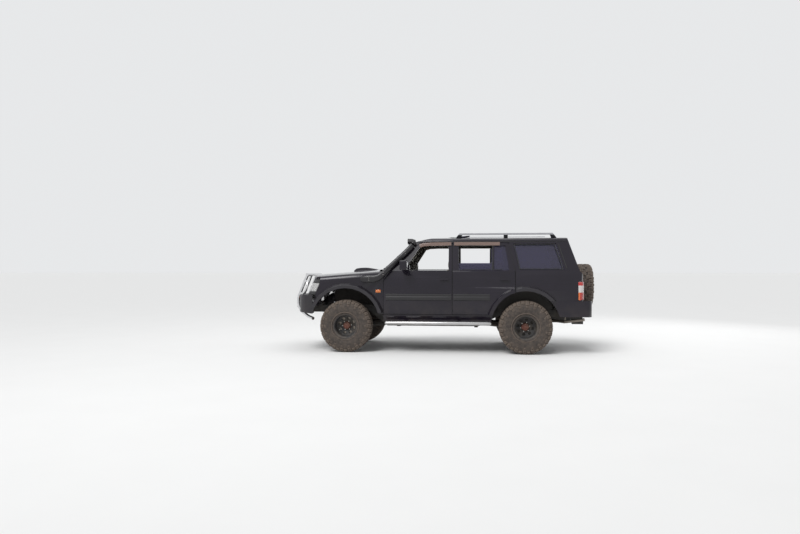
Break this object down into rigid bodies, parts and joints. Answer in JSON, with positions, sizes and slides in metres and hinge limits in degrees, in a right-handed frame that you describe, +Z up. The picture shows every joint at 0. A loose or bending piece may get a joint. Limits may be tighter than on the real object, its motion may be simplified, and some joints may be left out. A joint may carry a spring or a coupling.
{
  "type": "lifted off-road estate car",
  "caption": "Lifted four-wheel-drive estate on solid axles, with steering, turning wheels, opening doors and bonnet, bull bar, snorkel and rear spare wheel.",
  "frame": {"origin": "middle of the overall box at floor level", "axes": "+X rearward along the vehicle, +Y to the vehicle's right, +Z up"},
  "size_m": [5.13, 2.292, 1.992],
  "materials": {
    "black_paint": "gloss black paint, dusty",
    "black_plastic": "satin black plastic",
    "lamp_glass": "clear and coloured lamp lenses",
    "glass": "tinted glass",
    "chrome": "polished bright tube",
    "frame_paint": "chassis black, dusty",
    "spring_steel": "painted steel",
    "cast_metal": "cast and machined metal",
    "seat_fabric": "beige-grey woven cloth",
    "rim_paint": "black painted steel",
    "tyre": "dusty mud-terrain rubber"
  },
  "bodies": {
    "vehicle": {"arch_flares": "black_plastic", "body_sides": "black_paint", "bull_bar": "chrome", "chassis_frame": "frame_paint", "coil_springs": "spring_steel", "dashboard": "black_plastic", "drive_line": "cast_metal", "exhaust": "chrome", "fixed_glass": "glass", "floor_pan": "frame_paint", "front_axle": "frame_paint", "front_bumper": "black_plastic", "front_seats": "seat_fabric", "fuel_tank": "frame_paint", "grille_panel": "black_plastic", "head_lamps": "lamp_glass", "rear_axle": "frame_paint", "rear_bench": "seat_fabric", "rear_bumper": "black_plastic", "roof_panel": "black_paint", "roof_rails": "black_plastic", "side_steps": "chrome", "snorkel": "black_plastic", "suspension_links": "frame_paint", "tail_lamps": "lamp_glass", "tow_bar": "frame_paint", "wings": "black_paint"},
    "left_knuckle": {"knuckle_left": "cast_metal"},
    "right_knuckle": {"knuckle_right": "cast_metal"},
    "cross_rod": {"tie_rod": "cast_metal"},
    "hand_wheel": {"steering_wheel": "black_plastic"},
    "bonnet_lid": {"bonnet": "black_paint"},
    "left_front_door": {"front_door_left": "black_paint"},
    "right_front_door": {"front_door_right": "black_paint"},
    "left_rear_door": {"rear_door_left": "black_paint", "rear_door_glass_left": "glass"},
    "right_rear_door": {"rear_door_right": "black_paint", "rear_door_glass_right": "glass"},
    "wide_back_door": {"rear_door_wide": "black_paint", "rear_door_wide_glass": "glass", "spare_tyre": "tyre", "spare_rim": "rim_paint"},
    "narrow_back_door": {"rear_door_narrow": "black_paint", "rear_door_narrow_glass": "glass"},
    "front_left_wheel": {"front_tyre_left": "tyre", "front_rim_left": "rim_paint"},
    "front_right_wheel": {"front_tyre_right": "tyre", "front_rim_right": "rim_paint"},
    "rear_left_wheel": {"rear_tyre_left": "tyre", "rear_rim_left": "rim_paint"},
    "rear_right_wheel": {"rear_tyre_right": "tyre", "rear_rim_right": "rim_paint"}
  },
  "joints": [
    {"name": "steer_left", "type": "hinge", "parent": "vehicle", "child": "left_knuckle", "pos_m": [-1.625, -0.69, 0.4375], "axis": [0, 0, 1], "range_deg": [-30, 30]},
    {"name": "steer_right", "type": "hinge", "parent": "vehicle", "child": "right_knuckle", "pos_m": [-1.625, 0.69, 0.4375], "axis": [0, 0, 1], "range_deg": [-30, 30]},
    {"name": "cross_rod_pivot", "type": "hinge", "parent": "left_knuckle", "child": "cross_rod", "pos_m": [-1.753, -0.69, 0.4075], "axis": [0, 0, 1], "range_deg": [-30, 30]},
    {"name": "hand_wheel_turn", "type": "hinge", "parent": "vehicle", "child": "hand_wheel", "pos_m": [-0.6625, -0.38, 1.1315], "axis": [0.9239, 0, 0.3827], "range_deg": [-510, 510]},
    {"name": "front_left_spin", "type": "hinge", "parent": "left_knuckle", "child": "front_left_wheel", "pos_m": [-1.625, -0.822, 0.4375], "axis": [0, 1, 0], "continuous": true},
    {"name": "front_right_spin", "type": "hinge", "parent": "right_knuckle", "child": "front_right_wheel", "pos_m": [-1.625, 0.822, 0.4375], "axis": [0, 1, 0], "continuous": true},
    {"name": "rear_left_spin", "type": "hinge", "parent": "vehicle", "child": "rear_left_wheel", "pos_m": [1.345, -0.822, 0.4375], "axis": [0, 1, 0], "continuous": true},
    {"name": "rear_right_spin", "type": "hinge", "parent": "vehicle", "child": "rear_right_wheel", "pos_m": [1.345, 0.822, 0.4375], "axis": [0, 1, 0], "continuous": true},
    {"name": "left_front_door_hinge", "type": "hinge", "parent": "vehicle", "child": "left_front_door", "pos_m": [-0.985, -0.92, 0.98], "axis": [0, 0, -1], "range_deg": [0, 65]},
    {"name": "right_front_door_hinge", "type": "hinge", "parent": "vehicle", "child": "right_front_door", "pos_m": [-0.985, 0.92, 0.98], "axis": [0, 0, 1], "range_deg": [0, 65]},
    {"name": "left_rear_door_hinge", "type": "hinge", "parent": "vehicle", "child": "left_rear_door", "pos_m": [0.1615, -0.92, 0.98], "axis": [0, 0, -1], "range_deg": [0, 65]},
    {"name": "right_rear_door_hinge", "type": "hinge", "parent": "vehicle", "child": "right_rear_door", "pos_m": [0.1615, 0.92, 0.98], "axis": [0, 0, 1], "range_deg": [0, 65]},
    {"name": "bonnet_hinge", "type": "hinge", "parent": "vehicle", "child": "bonnet_lid", "pos_m": [-1.05, 0, 1.397], "axis": [0, 1, 0], "range_deg": [0, 55]},
    {"name": "wide_back_door_hinge", "type": "hinge", "parent": "vehicle", "child": "wide_back_door", "pos_m": [2.271, 0.69, 1.1], "axis": [0, 0, 1], "range_deg": [0, 95]},
    {"name": "narrow_back_door_hinge", "type": "hinge", "parent": "vehicle", "child": "narrow_back_door", "pos_m": [2.271, -0.69, 1.1], "axis": [0, 0, -1], "range_deg": [0, 95]}
  ],
  "couplings": [
    {"joint": "steer_right", "follows": "steer_left", "ratio": 1},
    {"joint": "cross_rod_pivot", "follows": "steer_left", "ratio": -1},
    {"joint": "hand_wheel_turn", "follows": "steer_left", "ratio": 17}
  ]
}
